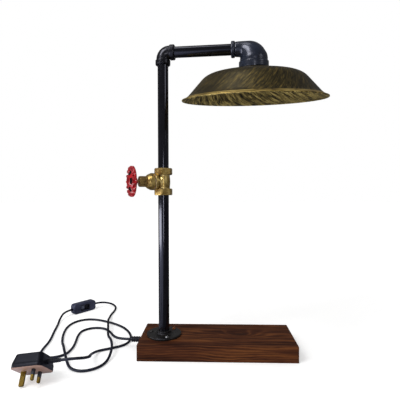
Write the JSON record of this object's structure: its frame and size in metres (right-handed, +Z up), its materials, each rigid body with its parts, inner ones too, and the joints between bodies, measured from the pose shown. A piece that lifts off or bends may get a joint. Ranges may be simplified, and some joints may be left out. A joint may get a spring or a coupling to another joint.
{
  "type": "industrial pipe table lamp",
  "caption": "Table lamp of threaded pipe on a wooden board: floor flange, gate valve with handwheel, swinging pipe arm, spun metal shade on a reducing elbow, corded switch and plug.",
  "frame": {"origin": "centre of the wooden board's underside", "axes": "+Z up, +X along the board towards the shade, -Y towards the front where the handwheel stands out"},
  "size_m": [0.6045, 0.4364, 0.6087],
  "materials": {
    "wood": "satin, dark walnut stain",
    "black_iron": "gloss black paint",
    "zinc_steel": "zinc plated",
    "valve_brass": "aged, dark patina in the corners",
    "packing": "matte",
    "red_paint": "gloss red paint",
    "slate_iron": "satin slate-blue grey",
    "holder_brass": "satin",
    "insulator": "ceramic-like",
    "bronze_shade": "brushed antique bronze",
    "black_rubber": "matte",
    "switch_plastic": "satin dark grey",
    "rocker_plastic": "gloss black",
    "plug_beige": "satin",
    "plug_black": "satin black",
    "pin_brass": "polished",
    "fuse_ceramic": "ceramic with metal ends"
  },
  "bodies": {
    "stand": {"base_board": "wood", "floor_flange": "black_iron", "lower_pipe": "black_iron", "upper_pipe": "black_iron", "flange_screw_1": "zinc_steel", "flange_screw_2": "zinc_steel", "flange_screw_3": "zinc_steel", "switch_screw_1": "zinc_steel", "switch_screw_2": "zinc_steel", "plug_cover_screw": "zinc_steel", "valve_body": "valve_brass", "valve_bonnet": "valve_brass", "packing_nut": "valve_brass", "bonnet_gasket": "packing", "stem_packing": "packing", "switch_contact_1": "holder_brass", "switch_contact_2": "holder_brass", "cord_gland": "black_rubber", "inner_flex_pole": "black_rubber", "cord_lamp_side": "black_rubber", "cord_plug_side": "black_rubber", "plug_strain_relief": "black_rubber", "switch_front_shell": "switch_plastic", "switch_back_shell": "switch_plastic", "plug_base": "plug_beige", "plug_cover": "plug_black", "plug_pin_sleeve_1": "plug_black", "plug_pin_sleeve_2": "plug_black", "plug_earth_pin": "pin_brass", "plug_line_pin_1": "pin_brass", "plug_line_pin_2": "pin_brass", "plug_fuse": "fuse_ceramic"},
    "valve_wheel": {"valve_stem": "valve_brass", "handwheel": "red_paint", "wheel_nut": "zinc_steel"},
    "rocker": {"switch_rocker": "rocker_plastic"},
    "arm": {"black_elbow": "black_iron", "arm_pipe": "black_iron", "inner_flex_arm": "black_rubber"},
    "head": {"reducing_elbow": "slate_iron", "holder_bush": "zinc_steel", "nipple": "zinc_steel", "nipple_nut": "zinc_steel", "holder_cap": "holder_brass", "holder_skirt": "holder_brass", "shade_ring": "holder_brass", "shade": "bronze_shade", "socket_insulator": "insulator", "screw_shell": "holder_brass", "centre_contact": "holder_brass", "terminal_screw_1": "holder_brass", "terminal_screw_2": "holder_brass", "inner_flex_head": "black_rubber"}
  },
  "joints": [
    {"name": "arm_swing", "type": "hinge", "parent": "stand", "child": "arm", "pos_m": [-0.106, -0.004, 0.593], "axis": [0, 0, 1], "range_deg": [-90, 90]},
    {"name": "head_turn", "type": "hinge", "parent": "arm", "child": "head", "pos_m": [0.07247, -0.01773, 0.593], "axis": [0.9971, -0.0767, 0], "range_deg": [-35, 35]},
    {"name": "handwheel_turn", "type": "hinge", "parent": "stand", "child": "valve_wheel", "pos_m": [-0.106, -0.004, 0.337], "axis": [-0.8988, -0.4384, 0], "continuous": true},
    {"name": "switch_rocker", "type": "hinge", "parent": "stand", "child": "rocker", "pos_m": [-0.34985, 0.22154, 0.013], "axis": [0, 0, 1], "range_deg": [0, 15]}
  ]
}
